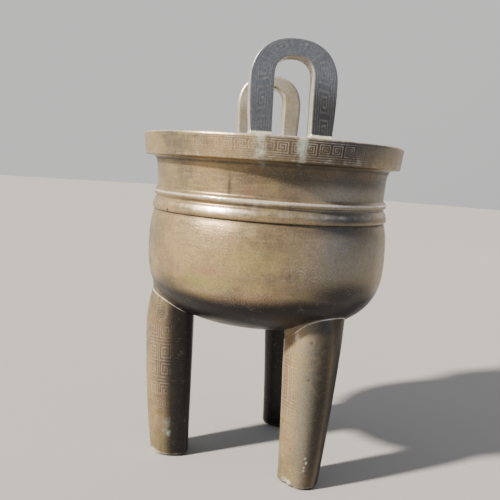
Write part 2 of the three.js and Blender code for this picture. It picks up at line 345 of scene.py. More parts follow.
class HandleSizes(bpy.types.PropertyGroup):
    """Sizes of the two loop handles."""

    outer_face: length_of("Outer face", "Distance of the flat outer face from the axis", 0.064)
    thickness: length_of("Thickness", "Thickness of the bar, from outer to inner face", 0.0115)
    rise: length_of("Rise", "Height of the handle above the rim", HANDLE_RISE)
    half_width: length_of("Half width", "Half of the handle's width", 0.0197)
    loop_rise: length_of("Loop height", "Height of the opening above the rim", 0.0349)
    loop_half: length_of("Loop half width", "Half of the opening's width", 0.0088)


class FinishColours(bpy.types.PropertyGroup):
    """Colours of the bronze, its inlay and what time has left on it."""

    light: colour_of("Light patina", "Thin brown patina where the bronze is handled", "#a28b64")
    deep: colour_of("Deep patina", "Thick brown patina", "#645b4e")
    pale: colour_of("Pale metal", "Cream metal of the handles where it is bare", "#cbc3b5")
    dull: colour_of("Dull metal", "Grey-brown metal of the handles where it is stained", "#a19786")
    # Rubbed metal, also the colour of painted highlights on the bead, the band and the legs.
    rubbed_and_highlight: colour_of("Rubbed metal", "Metal rubbed bright on crests and edges", "#e2d8c8")
    # Dark wax and dirt in the hollows, also painted shade on the legs' inner sides and collars.
    grime_and_shade: colour_of("Grime", "Dark wax and dirt in the hollows", "#2c2826")
    # Dark patina, and the colour of the painted shade under the rim, low on the bowl and on the legs'
    # shaded sides.
    dark: colour_of(
        "Dark patina", "Brown-black patina on sides that are seldom handled", "#201e1e")
    copper: colour_of("Copper blush", "Copper's red coming through the patina", "#835e4b")
    olive: colour_of("Olive patina", "Yellow-green patina", "#948a56")
    verdigris: colour_of("Verdigris", "Pale grey-green corrosion", "#9aa398")
    # Its blue-grey is partly a painted reflection of the sky.
    black: colour_of("Black patina", "Blue-black patina on the handles' outer faces", "#646a74")
    # On the bowl this grey also lays painted shade on its shaded side.
    grey: colour_of("Grey bloom", "Thin grey film that dulls the brown", "#7b766b")
    solder: colour_of("Solder", "Grey-white solder round the feet of the handles", "#cfc9b8")
    silver_wire: colour_of("Silver wire", "Tarnished silver in the rim and the handles", "#b4aca3")
    worn_wire: colour_of("Worn wire", "Silver rubbed thin on the bowl and the legs", "#c3b5aa")


class StageSettings(bpy.types.PropertyGroup):
    """Where the camera stands and how strong the lights are."""

    distance: length_of("Camera distance", "Distance of the camera from the axis", 0.3518)
    height: length_of("Camera height", "Height of the camera above the ground", 0.1623)
    azimuth: angle_of("Camera azimuth", "Turn of the camera round the vessel, from +X", 173.95)
    yaw: angle_of("Yaw", "Turn of the camera away from the axis, to the right", -1.44)
    pitch: angle_of("Pitch", "How far the camera looks down", 7.46)
    roll: angle_of("Roll", "Tilt of the camera about its own line of sight", 4.06)
    lens: FloatProperty(
        name="Lens", description="Focal length for a sensor 36 mm wide", default=45.7)
    key_power: FloatProperty(
        name="Key light", description="Strength of the main light, in W/m2", default=13.5)
    rim_power: FloatProperty(
        name="Rim light", description="Power of the weak softbox behind the vessel",
        default=1.0, unit="POWER")
    fill_power: FloatProperty(
        name="Fill light", description="Power of the cool softbox on the shaded side",
        default=2.2, unit="POWER")
    room_light: FloatProperty(
        name="Room, light side", description="Brightness of the room above and behind the vessel",
        default=0.85)
    room_dark: FloatProperty(
        name="Room, dark side", description="Brightness of the room in front of it",
        default=0.48)


# ---------------------------------------------------------------------------- surfaces

def ring_faces(rows, columns):
    """For a stack of closed rings: the points of the first and of the last, each with its own
    first point again at the end, and the four-sided faces between one ring and the next."""
    index = np.arange(rows * columns).reshape(rows, columns)
    closed = np.concatenate([index, index[:, :1]], 1)
    quads = np.stack([closed[:-1, :-1], closed[:-1, 1:], closed[1:, 1:], closed[1:, :-1]], -1)
    return closed[0], closed[-1], quads.reshape(-1, 4)


def closed_skin(name, rings, start, end, chart, marks):
    """A closed mesh over a stack of rings, with a fan of triangles from a pole over the first
    ring and another over the last. rings is rows x columns x 3. chart is rows x (columns + 1) x 2:
    the place on the surface that a pattern follows, with its own value on the closing edge. marks
    are named fields, rows x columns x 3, that the finish reads."""
    rows, columns = rings.shape[:2]
    first, last, quads = ring_faces(rows, columns)
    pole = np.full(columns, rows * columns)
    low = np.stack([pole, first[1:], first[:-1]], -1)
    high = np.stack([pole + 1, last[:-1], last[1:]], -1)
    points = np.concatenate([rings.reshape(-1, 3), [start], [end]])
    piece = linked_mesh(name, points, quads.tolist() + low.tolist() + high.tolist())
    mesh = piece.data
    corners = np.stack([chart[:-1, :-1], chart[:-1, 1:], chart[1:, 1:], chart[1:, :-1]], 2)
    before, after = chart[:, :-1], chart[:, 1:]
    middle = (before + after) / 2
    low_fan = np.stack([middle[0], after[0], before[0]], 1)
    high_fan = np.stack([middle[-1], before[-1], after[-1]], 1)
    values = np.concatenate([part.reshape(-1, 2) for part in (corners, low_fan, high_fan)])
    layer = mesh.attributes.new("chart", "FLOAT_VECTOR", "CORNER")
    layer.data.foreach_set("vector", np.pad(values, ((0, 0), (0, 1))).astype(np.float32).ravel())
    for title, field in marks.items():
        ends = [field[0].mean(0), field[-1].mean(0)]
        values = np.concatenate([field.reshape(-1, 3), ends]).astype(np.float32)
        layer = mesh.attributes.new(title, "FLOAT_VECTOR", "POINT")
        layer.data.foreach_set("vector", values.ravel())
    mesh.shade_smooth()
    return piece


def linked_mesh(name, points, faces):
    """A new object in the scene, from an array of points and a list of faces."""
    mesh = bpy.data.meshes.new(name)
    mesh.from_pydata(points.tolist(), [], faces)
    piece = bpy.data.objects.new(name, mesh)
    bpy.context.scene.collection.objects.link(piece)
    return piece


def around_z(degrees):
    """The matrix that turns a row of points about the upright axis."""
    angle = math.radians(degrees)
    return np.array([[math.cos(angle), math.sin(angle), 0], [-math.sin(angle), math.cos(angle), 0],
                     [0, 0, 1]])


def ease(value, low, high):
    """A smooth step: 0 below low, 1 above high, and 3t^2 - 2t^3 between them."""
    share = np.clip((value - low) / (high - low), 0, 1)
    return share * share * (3 - 2 * share)


def patches(degrees, height, places):
    """The strongest of several soft patches: strength * exp(-(across / half)^2 - (up / half)^2). A
    place is its direction in degrees, its height, its half sizes in degrees and millimetres, and
    its strength."""
    total = np.zeros(np.broadcast(degrees, height).shape)
    for direction, level, half_turn, half_rise, strength in places:
        away = (degrees - direction + 180) % 360 - 180
        field = np.exp(-(away / half_turn) ** 2 - ((height / MM - level) / half_rise) ** 2)
        total = np.maximum(total, strength * field)
    return total


def lines(height, places):
    """The sum of soft lines round a piece, each strength * exp(-(up / half)^2). A place is its
    height and its half width in millimetres, and its strength."""
    return sum(strength * np.exp(-((height / MM - level) / half) ** 2)
               for level, half, strength in places)


def round_corners(path, radii, steps):
    """Each corner C of an open path becomes the curve (1-t)^2 A + 2t(1-t) C + t^2 B, where A and B
    lie on the sides next to it, the radius away, or nearly half a side where that is less."""
    corner = path[1:-1]
    curve = np.linspace(0, 1, steps)[None, :, None]
    ends = []
    for neighbour in (path[:-2], path[2:]):
        side = neighbour - corner
        length = np.linalg.norm(side, axis=1, keepdims=True)
        reach = np.minimum(radii[:, None], length * 0.48)
        ends.append((corner + side / length * reach)[:, None])
    first, last = ends
    middle = corner[:, None]
    rounded = (1 - curve) ** 2 * first + 2 * curve * (1 - curve) * middle + curve ** 2 * last
    return rounded.reshape(-1, 2)


def superellipse(radius, depth, top, power, count):
    """Points from the axis out to the widest place: distance = radius * sin(t)^(2/power) and
    height = top - depth * cos(t)^(2/power), for t from 0 to a right angle."""
    turn = np.linspace(0, np.pi / 2, count)
    out = radius * np.sin(turn) ** (2 / power)
    return np.stack([out, top - depth * np.abs(np.cos(turn)) ** (2 / power)], 1)


def cast_waver(angle, height, size):
    """A slow unevenness of a hand-finished casting: size times the mean of the WAVES, each
    sin(count * angle + start + slant * height)."""
    waves = sum(np.sin(count * angle + start + slant * height) for count, start, slant in WAVES)
    return size * waves / len(WAVES)


def bowl_profile(sizes):
    """Distance from the axis and height along the bowl's section, from the middle of the underside
    out, up the body and over the band, the bead, the neck and the rim, and back down the inside.
    The side draws in as the cube of the way up it."""
    swell, belly, top = sizes.swell_radius, sizes.swell_height, BOWL_TOP
    neck, rim, mouth, wall = sizes.neck_radius, sizes.rim_radius, sizes.mouth_radius, sizes.wall
    rim_foot = top - sizes.rim_face
    depth = belly - sizes.underside
    under = superellipse(swell, depth, belly, sizes.roundness, count=64)
    share = np.linspace(0, 1, 12)[1:]
    side = np.stack([swell - SIDE_DRAW * share ** 3, belly + (BODY_TOP - belly) * share], 1)
    # Corners from the body's top to the inside: distance, height, and the rounding in mm.
    corners = np.array([
        [swell - SIDE_DRAW, BODY_TOP, 0.1],
        [63.5 * MM, 137.7 * MM, 0.3],
        [63.9 * MM, 138.6 * MM, 0.6],
        [63.6 * MM, 140.6 * MM, 1.5],
        [62.8 * MM, 142.8 * MM, 1.5],
        [neck + 0.4 * MM, 143.6 * MM, 0.9],
        [neck + 0.5 * MM, 144.6 * MM, 0.6],
        [neck + 1.6 * MM, 145.3 * MM, 0.8],
        [neck + 1.75 * MM, 147.2 * MM, 1.0],
        [neck + 0.6 * MM, 148.2 * MM, 0.6],
        [neck, 148.9 * MM, 0.9],
        [neck + 0.3 * MM, rim_foot - 8 * MM, 4.0],
        [neck + 0.7 * MM, rim_foot - 4 * MM, 3.0],
        [neck + 1.5 * MM, rim_foot - 1.2 * MM, 1.5],
        [neck + 3.0 * MM, rim_foot - 0.2 * MM, 0.8],
        [rim - 1.9 * MM, rim_foot, 0.3],
        [rim - 1.3 * MM, rim_foot + 0.3 * MM, 0.4],
        [rim - 0.1 * MM, top - 0.9 * MM, 0.8],
        [rim - 0.8 * MM, top, 0.7],
        [mouth + 0.7 * MM, top, 0.8],
        [mouth, top - 0.9 * MM, 0.7],
        [mouth, top - 5 * MM, 1.5],
        [neck - wall, rim_foot - 1 * MM, 2.5],
        [neck - wall, BODY_TOP + 3 * MM, 3.0],
        [swell - wall, belly + 6 * MM, 6.0],
    ])
    inside = superellipse(swell - wall, depth - wall, belly, sizes.roundness, count=40)[::-1]
    path = np.concatenate([side[-2:-1], corners[:, :2], inside[:1]])
    rounded = round_corners(path, corners[:, 2] * MM, steps=4)
    return np.concatenate([under, side[:-1], rounded, inside])


def turned_bowl(sizes):
    """The bowl: its section turned round the upright axis, each point moved out or in by the slow
    waver of the casting, and in at the pits and nicks. The chart holds the arc length at the rim's
    radius, and the height. The inside starts past the rounded edge at the top of the rim's face."""
    profile = bowl_profile(sizes)[1:-1]
    angle = np.linspace(-np.pi, np.pi, sizes.around + 1)
    degrees = np.degrees(angle[None, :-1])
    out, height = profile[:, :1], profile[:, 1:]
    edge_points = 6
    inside = (np.arange(len(profile)) > profile[:, 0].argmax() + edge_points)[:, None]
    fade = np.clip(out / sizes.swell_radius, 0, 1)
    outward = out + cast_waver(angle[None, :-1], height, BOWL_WAVER) * fade
    outward = outward - BOWL_PIT_DEPTH * patches(degrees, height, BOWL["pits"]) * ~inside
    outward = np.minimum(outward, sizes.rim_radius)
    rings = np.stack(np.broadcast_arrays(
        outward * np.cos(angle[:-1]), outward * np.sin(angle[:-1]), height), -1)
    chart = np.stack(np.broadcast_arrays(angle[None] * sizes.rim_radius, height), -1) / MM
    poles = (0, 0, sizes.underside), (0, 0, sizes.underside + sizes.wall)
    return closed_skin("bowl_cast", rings, *poles, chart, bowl_marks(degrees, height, inside))


def gathered(fields, shape):
    """Stacks named fields three to an attribute, as in MARKS, with 0 for a missing one."""
    return {title: np.stack([np.broadcast_to(fields.get(name, 0), shape) for name in names], -1)
            for title, names in MARKS.items()}


def stains(degrees, height, places):
    """The fields that are patches and nothing else."""
    return {name: patches(degrees, height, places[name])
            for name in ("verdigris", "copper", "olive", "black")}


def bowl_marks(degrees, height, inside):
    """What handling and time did to the bowl, and the painted light and shade on it, as the fields of
    MARKS. The underside is darker below a line that wavers about 100 mm up: painted shade, together
    with dark patina. The hollow under the rim has a painted shadow, left off on the side that faces
    the key light. The crests of the bead, the band and the rim, and two patches on the bead and the
    band, are rubbed bright, partly painted highlight, and most dark and black patches are painted
    shade. A little inlay is left all round, less of it low down. The inside is evenly grimy."""
    shape = np.broadcast(degrees, height).shape
    outside = np.broadcast_to(~inside, shape)
    around = np.radians(degrees)
    # Painted shade: below this wavering line the underside darkens, together with dark patina.
    line = height / MM + 1.2 * np.sin(2 * around + 3) + 0.8 * np.sin(5 * around)
    low = 1 - ease(line, 96, 107.5)
    # A painted shadow in the hollow under the rim, left off on the side that faces the key light.
    painted_rim_shadow = 0.65 * ease(height / MM, 150, 158) * (height / MM < 164.5)
    painted_rim_shadow = painted_rim_shadow * (1 - patches(degrees, height, BOWL["lit_side"]))
    grime_and_shade = lines(height, BOWL["grime_lines"]) + patches(degrees, height, BOWL["pits"])
    # Rubbed crests and patches, partly painted highlight.
    rubbed_and_highlight = lines(height, BOWL["bright_crest_lines"]) + patches(degrees, height, BOWL["rubbed_and_highlight"])
    fields = stains(degrees, height, BOWL)
    fields["rubbed_and_highlight"] = rubbed_and_highlight
    fields["left"] = (0.2 + patches(degrees, height, BOWL["inlay"])) * (1 - 0.6 * low)
    fields["dark"] = np.maximum(low + painted_rim_shadow, patches(degrees, height, BOWL["dark"]))
    fields = {name: field * outside for name, field in fields.items()}
    fields["grime_and_shade"] = np.where(outside, grime_and_shade, 0.75)
    return gathered(fields, shape)


def leg_point(height, turn, sizes, leg, inset):
    """A point on a leg's outline. The outer half is an ellipse and the inner half a superellipse of
    INNER_POWER. Going up, the outer reach grows as 1 - (1 - rise)^REACH_POWER, the inner reach
    evenly, and the width as rise^WIDTH_POWER. inset draws the point in towards the middle."""
    rise = np.minimum(height / sizes.head_height, 1)
    gain = (sizes.head_reach - sizes.foot_reach) * (1 - (1 - rise) ** REACH_POWER)
    outer = sizes.foot_reach + gain + leg["outer_shift"] * MM
    inner = sizes.inner_foot + (sizes.inner_head - sizes.inner_foot) * rise
    inner = inner + leg["inner_shift"] * MM
    half = sizes.half_foot + (sizes.half_head - sizes.half_foot) * rise ** WIDTH_POWER
    middle = inner + (outer - inner) * LEG_MIDDLE
    cosine, sine = np.cos(turn), np.sin(turn)
    power = np.where(cosine > 0, 1.0, 2 / INNER_POWER)
    depth = np.where(cosine > 0, outer - middle, inner - middle)
    out = depth * np.abs(cosine) ** power
    across = half * np.sign(sine) * np.abs(sine) ** power
    keep = 1 - inset / np.hypot(out, across)
    return middle + out * keep, across * keep


def under_bowl(distance, gap, bowl):
    """Height of the bowl's underside, moved outwards by a gap, at a distance from the axis."""
    across = np.minimum(distance / (bowl.swell_radius + gap), 1)
    depth = bowl.swell_height - bowl.underside + gap
    return bowl.swell_height - depth * (1 - across ** bowl.roundness) ** (1 / bowl.roundness)


def meeting_height(turn, sizes, leg, inset, gap, bowl):
    """Height where the leg's side meets the underside of the bowl, by repeated correction."""
    height = np.full(turn.shape, sizes.head_height)
    for _ in range(20):
        out, across = leg_point(height, turn, sizes, leg, inset)
        height = under_bowl(np.hypot(out, across), gap, bowl)
    return height


def leg_rows(ring, sizes, bowl, leg):
    """Height and inset of the rings of a leg, and the number of the ring at the seam. They go
    round the foot's edge as a quarter circle, up the shaft, in over the shoulder as the square of
    the height, and out along the solder collar into the bowl. The collar narrows as cosine^2.5
    away from its deepest side."""
    share = ease(np.cos(ring - math.radians(leg["shoulder_turn"])), -0.3, 0.8)
    shoulder = sizes.shoulder * share
    collar_inset = COLLAR_INSET * share
    narrowing = np.maximum(np.cos(ring - math.radians(leg["collar_turn"])), 0) ** 2.5
    collar = sizes.collar + (leg["collar_deep"] * MM - sizes.collar) * narrowing
    seam = meeting_height(ring, sizes, leg, shoulder, collar, bowl)
    top = meeting_height(ring, sizes, leg, collar_inset, SINK, bowl)
    shaft_top = seam - sizes.shoulder_height
    roll = np.linspace(0, np.pi / 2, 8)[:, None]
    up, over, out = (np.linspace(0, 1, count)[1:, None] for count in (90, 30, 9))
    even = np.ones_like(ring)
    height = np.concatenate([
        FOOT_EDGE * (1 - np.cos(roll)) * even,
        FOOT_EDGE + (shaft_top - FOOT_EDGE) * up,
        shaft_top + sizes.shoulder_height * over,
        seam + (top - seam) * out])
    inset = np.concatenate([
        FOOT_EDGE * (1 - np.sin(roll)) * even,
        0 * up * even,
        shoulder * over ** 2,
        shoulder - (shoulder - collar_inset) * out ** 2 + SEAM_STEP])
    return height, inset, len(roll) + len(up) + len(over) - 1


def leg_surface(name, sizes, bowl, leg):
    """A leg: the rings of leg_rows, roughened by the waver, pits and chips of the casting, and
    closed below by a flat foot and above by a cap inside the bowl. The chart holds the arc length
    round the leg, and the height."""
    turn = np.linspace(-np.pi, np.pi, sizes.around + 1)
    ring = turn[:-1]
    degrees = np.degrees(ring)[None]
    height, inset, seam_row = leg_rows(ring, sizes, bowl, leg)
    inset = inset + LEG_PIT_DEPTH * patches(degrees, height, leg["pits"])
    inset = inset - cast_waver(ring[None], height * 2, LEG_WAVER)
    ragged = 1 + 0.4 * np.sin(degrees * 1.9 + height * 3000)
    chips = np.clip(patches(degrees, height, leg["chips"]) * ragged, 0, 1)
    inset = inset + CHIP_DEPTH * chips
    out, across = leg_point(height, ring[None], sizes, leg, inset)
    foot, head = out[0].mean(), out[-1].mean()
    keep = np.array([0.2, 0.5, 0.8])[:, None]
    sole = [foot + (out[0] - foot) * keep, across[0] * keep, height[0]]
    x, y = head + (out[-1] - head) * keep[::-1], across[-1] * keep[::-1]
    cap = [x, y, under_bowl(np.hypot(x, y), SINK, bowl)]
    rings = np.concatenate([
        np.stack(np.broadcast_arrays(*part), -1) for part in (sole, [out, across, height], cap)])
    start = np.array([foot, 0, 0])
    end = np.array([head, 0, under_bowl(head, SINK, bowl)])
    level = np.concatenate([rings[:, :, 2], rings[:, :1, 2]], 1)
    girth = (turn - math.radians(leg["inlay_turn"])) / (2 * np.pi) * LEG_GIRTH
    chart = np.stack(np.broadcast_arrays(girth, level / MM), -1)
    past_seam = np.arange(len(rings))[:, None] - len(keep) - seam_row
    marks = leg_marks(degrees, rings[:, :, 2], past_seam, leg)
    turned = around_z(leg["angle"])
    return closed_skin(name, rings @ turned, start @ turned, end @ turned, chart, marks)


def leg_marks(degrees, height, past_seam, leg):
    """What handling and time did to a leg, and the painted light and shade on it, as the fields of
    MARKS. past_seam counts the rings from the seam, up into the collar. Each leg darkens away from
    one side, painted shade, and most of its dark patches are painted shade too. The grime patches on
    the inner side are painted shade, and the collar under the bowl is darkened, by grime in the joint
    and by painted shade. The seam itself is bright on the outer side, rubbed and partly painted
    highlight, and the inlay ends below the seam and above the foot."""
    away = np.abs((degrees - leg["dark_turn"] + 180) % 360 - 180)
    # Painted shade: the side away from dark_turn, and the dark patches.
    dark = np.maximum(ease(away, 50, 115), patches(degrees, height, leg["dark"]))
    kept = patches(degrees, height, leg["inlay"]) * (1 - 0.5 * dark)
    # The seam rubbed bright on the outer side, partly painted highlight.
    bright_seam = (past_seam == 0) * ease(np.cos(np.radians(degrees - 15)), -0.6, 0.2)
    foot_rubbed = lines(height, ((1.6, 1.2, 0.4),))
    foot_dirt = lines(height, ((0, 0.8, 0.6),))
    # Pits, and grime patches that on the inner sides are painted shade.
    pits_and_painted_shade = patches(degrees, height, leg["pits"] + leg["grime_and_shade"])
    fields = stains(degrees, height, leg)
    fields["rubbed_and_highlight"] = bright_seam + foot_rubbed + patches(degrees, height, leg["rubbed_and_highlight"])
    # The collar under the bowl is darkened: grime in the joint and painted shade.
    fields["grime_and_shade"] = 0.6 * (past_seam > 0) + foot_dirt + pits_and_painted_shade
    fields["left"] = kept * ease(-past_seam, 2, 8) * ease(height / MM, 5, 9)
    fields["dark"] = dark
    return gathered(fields, height.shape)


def bar_sections(inner, outer, sizes, edge_front, edge_back, grow):
    """Closed outlines of a bar between matching points of its inner and outer edge: a rectangle
    with rounded corners, as deep as the bar's thickness and grown on all sides by grow. They start
    at the back, in the middle. Stations x outline points x 3, with each point's place across."""
    away = outer - inner
    width = np.linalg.norm(away, axis=1)[:, None]
    away = away / width
    front, back = sizes.outer_face, sizes.outer_face - sizes.thickness
    quarter = np.linspace(0, np.pi / 2, 7)[None]
    flat = np.linspace(0, 1, 10)[None, 1:-1]
    bend_in, bend_out = 1 - np.cos(quarter), 1 - np.sin(quarter)
    side = back + edge_back + (front - edge_front - back - edge_back) * flat
    half = edge_back + (width / 2 - edge_back) * flat
    # Round the section: half the back, a side, the front, the other side, the rest of the back.
    outline = (
        (back, width / 2 - (half - edge_back)), (back + edge_back * bend_in, edge_back * bend_out),
        (side, 0),
        (front - edge_front * bend_out, edge_front * bend_in),
        (front, edge_front + (width - 2 * edge_front) * flat),
        (front - edge_front * bend_in, width - edge_front * bend_out),
        (side[:, ::-1], width),
        (back + edge_back * bend_out, width - edge_back * bend_in), (back, width - half))
    parts = [np.broadcast_arrays(*part, width)[:2] for part in outline]
    depth, across = (np.concatenate(column, 1) for column in zip(*parts))
    centre = (front + back) / 2
    depth = centre + (depth - centre) * (1 + grow / sizes.thickness * 2)
    across = width / 2 + (across - width / 2) * (1 + grow / width * 2)
    spot = inner[:, None] + away[:, None] * across[:, :, None]
    return np.concatenate([depth[:, :, None], spot], 2), across


def handle_loop(sizes):
    """Matching points of the loop's inner and outer edge, up one side, over the arch and down the
    other. The arch is the superellipse |across|^ARCH_POWER + |up|^ARCH_POWER = 1. The points crowd
    towards the foot as share^1.5, and the foot narrows by the square of the way down to it."""
    power = 2 / ARCH_POWER
    share = np.linspace(0, 1, 48)[:-1] ** 1.5
    turn = np.linspace(np.pi, 0, 120)
    arch = np.stack([np.sign(np.cos(turn)) * np.abs(np.cos(turn)) ** power,
                     np.abs(np.sin(turn)) ** power], 1)
    edges = []
    for half, top, inset in ((sizes.loop_half, sizes.loop_rise, 0),
                             (sizes.half_width, sizes.rise, FOOT_INSET)):
        rising = np.stack([inset * (1 - share) ** 2 - half, (top - half) * share], 1)
        over = arch * half + [0, top - half]
        edges.append(np.concatenate([rising, over, (rising * [-1, 1])[::-1]]))
    return edges


def handle_surface(name, sizes, handle):
    """A handle: the bar's section carried round the loop, leaning sideways by lean times the
    height, with a low fillet of solder round each foot. The chart holds the length along the
    middle of the bar, from the top of the loop, and the place across it."""
    inner, outer = handle_loop(sizes)
    rise = (inner[:, 1:] + outer[:, 1:]) / 2
    grow = handle["fillet"] * MM * np.exp(-(rise / FILLET_HEIGHT) ** 1.5)
    rings, across = bar_sections(inner, outer, sizes, handle["edge_front"] * MM,
                                 handle["edge_back"] * MM, grow)
    rings[:, :, 1] += handle["lean"] * rings[:, :, 2]
    rings[:, :, 2] += BOWL_TOP
    middle = (inner + outer) / 2
    length = np.concatenate([[0], np.cumsum(np.linalg.norm(np.diff(middle, axis=0), axis=1))])
    wrapped = np.concatenate([across, across[:, :1]], 1)
    chart = np.stack(np.broadcast_arrays(length[:, None] - length[-1] / 2, wrapped), -1) / MM
    width = np.linalg.norm(outer - inner, axis=1)[:, None]
    marks = handle_marks(rings, rise, np.minimum(across, width - across), sizes, handle)
    rings = rings @ around_z(handle["angle"])
    return closed_skin(name, rings, rings[0].mean(0), rings[-1].mean(0), chart, marks)


def handle_marks(rings, rise, edge, sizes, handle):
    """What handling and time did to a handle, as the fields of MARKS. rise is the height above the
    rim and edge the distance from the nearer edge of the bar. The outer face is blackened and
    inlaid, its blue-grey partly a painted reflection, darker on one arm and low down, and its edges
    are rubbed. The foot is soldered."""
    depth, aside, height = rings[:, :, 0], rings[:, :, 1], rings[:, :, 2]
    front = sizes.outer_face
    face = ease(depth, front - 0.5 * MM, front - 0.1 * MM)
    near_face = ease(depth, front - 1.5 * MM, front - 0.2 * MM)
    stained = (0.35 + 0.35 * ease(aside / MM, 0, 8)) * (1 - ease(rise / MM, 12, 34))
    fields = {
        "rubbed_and_highlight": 0.5 * np.exp(-(edge / (0.4 * MM)) ** 2) * near_face,
        "left": 0.52 * face,
        # Blue-black patina on the outer face, its blue partly a painted reflection.
        "black": 0.72 * face,
        "dark": stained * face + handle["stain"] * (1 - face),
        "solder": 1 - ease(rise / MM, 0.7, 1.9),
        "olive": lines(height, ((196, 16, 0.3),)),
    }
    return gathered(fields, depth.shape)


# --------------------------------------------------------------------------- materials

MATH = "ShaderNodeMath"


def empty_tree(block):
    """The node tree of a new material or world, without its first nodes."""
    block.use_nodes = True
    block.node_tree.nodes.clear()
    return block.node_tree


def add(tree, kind, inputs, **settings):
    """One node. Settings go on the node itself and inputs into its sockets, in order, or by name or
    number: a node is linked from its first output, a socket is linked, and the rest are values."""
    node = tree.nodes.new(kind)
    for name, value in settings.items():
        setattr(node, name, value)
    for key, value in inputs.items() if isinstance(inputs, dict) else enumerate(inputs):
        if isinstance(value, bpy.types.Node):
            value = value.outputs[0]
        if isinstance(value, bpy.types.NodeSocket):
            tree.links.new(value, node.inputs[key])
        else:
            node.inputs[key].default_value = value
    return node


def groove_lines(tree, phase, half):
    """Lines where phase is a whole number: 1 on a line whose half width is that share of the
    pitch, and 0 beside it, with a soft edge."""
    away = add(tree, MATH, [phase, 0.5], operation="PINGPONG")
    return add(tree, "ShaderNodeMapRange", {
        "Value": away, "From Min": half * 1.35, "From Max": half * 0.65})


def squared_spirals(tree, along, across, cell, pitch_along, pitch_across, half):
    """A row of squared spirals, each a mirror of the next. In the upper half the lines are squares
    about the middle of a cell, and in the lower half squares about a point half a pitch aside,
    half a pitch larger, so that they join into one line wound outwards."""
    mirrored = add(tree, MATH, [along, cell], operation="PINGPONG")
    x = add(tree, MATH, [mirrored, cell / 2], operation="SUBTRACT")
    x = add(tree, MATH, [x, pitch_along], operation="DIVIDE")
    y = add(tree, MATH, [across, pitch_across], operation="DIVIDE")
    low = add(tree, MATH, [y, 0.0], operation="LESS_THAN")
    shift = add(tree, MATH, [low, 0.5], operation="MULTIPLY")
    x = add(tree, MATH, [x, shift], operation="SUBTRACT")
    x = add(tree, MATH, [x], operation="ABSOLUTE")
    y = add(tree, MATH, [y], operation="ABSOLUTE")
    far = add(tree, MATH, [x, y], operation="MAXIMUM")
    phase = add(tree, MATH, [far, shift], operation="ADD")
    return groove_lines(tree, phase, half)


def round_spiral(tree, x, y, radius, pitch, half):
    """A roundel of two lines wound together: phase = distance / pitch - 2 * turns, inside a
    circle of the given radius."""
    square = add(tree, MATH, [x, x], operation="MULTIPLY")
    far = add(tree, MATH, [y, y, square], operation="MULTIPLY_ADD")
    far = add(tree, MATH, [far, 0.5], operation="POWER")
    turn = add(tree, MATH, [y, x], operation="ARCTAN2")
    twist = add(tree, MATH, [turn, -1 / math.pi], operation="MULTIPLY")
    phase = add(tree, MATH, [far, 1 / pitch, twist], operation="MULTIPLY_ADD")
    inside = add(tree, MATH, [far, radius], operation="LESS_THAN")
    wires = groove_lines(tree, phase, half)
    return add(tree, MATH, [wires, inside], operation="MULTIPLY")


def cloud_scrolls(tree, along, height, cell, pitch, half):
    """A field of small curls about scattered centres, a cell apart: each spot belongs to its
    nearest centre and takes a spiral about it, wound one way or the other by chance."""
    spot = add(tree, "ShaderNodeCombineXYZ", [along, height])
    cells = add(tree, "ShaderNodeTexVoronoi", {
        "Vector": spot, "Scale": 1 / cell, "Randomness": 0.8}, voronoi_dimensions="2D")
    away = add(tree, "ShaderNodeVectorMath", [spot, cells.outputs["Position"]],
               operation="SUBTRACT")
    away = add(tree, "ShaderNodeSeparateXYZ", [away])
    chance = add(tree, "ShaderNodeSeparateColor", [cells.outputs["Color"]])
    hand = add(tree, MATH, [chance, 0.5], operation="SUBTRACT")
    hand = add(tree, MATH, [hand], operation="SIGN")
    x = add(tree, MATH, [away, hand], operation="MULTIPLY")
    return round_spiral(tree, x, away.outputs[1], cell * 0.62, pitch, half)


def rim_inlay(tree, along, height):
    """Thunder fret round the rim: squared spirals 6.5 mm apart in lines about 1.1 mm apart, with
    straight lines above and below. Under it, faint curls all over the neck and the bowl, and a row
    of roundels 15.7 mm apart. Their wires lie 1.5 mm apart, coarser than the real ones, which would
    run together. Half the vessel is a mirror of the other half, so the curls meet."""
    across = add(tree, MATH, [height, 172.0], operation="SUBTRACT")
    fret = squared_spirals(tree, along, across, cell=RIM_GIRTH / 68, pitch_along=1.2,
                           pitch_across=1.02, half=0.24)
    on_rim, on_body, on_neck = (
        add(tree, MATH, [height, middle, half], operation="COMPARE")
        for middle, half in (RIM_BAND, BODY_BAND, NECK_BAND))
    fret = add(tree, MATH, [fret, on_rim], operation="MULTIPLY")
    folded = add(tree, MATH, [along, RIM_GIRTH / 2], operation="PINGPONG")
    curls = cloud_scrolls(tree, folded, height, cell=8.0, pitch=1.5, half=0.17)
    drawn = add(tree, MATH, [on_body, on_neck], operation="MAXIMUM")
    curls = add(tree, MATH, [curls, drawn], operation="MULTIPLY")
    span = RIM_GIRTH / 28
    x = add(tree, MATH, [along, span / 2], operation="PINGPONG")
    x = add(tree, MATH, [x, span / 4], operation="SUBTRACT")
    y = add(tree, MATH, [height, 100.5], operation="SUBTRACT")
    roundels = round_spiral(tree, x, y, radius=4.6, pitch=1.5, half=0.2)
    curls = add(tree, MATH, [roundels, curls], operation="MAXIMUM")
    faint = add(tree, MATH, [curls, 0.42], operation="MULTIPLY")
    return {"silver_wire": fret, "worn_wire": faint}


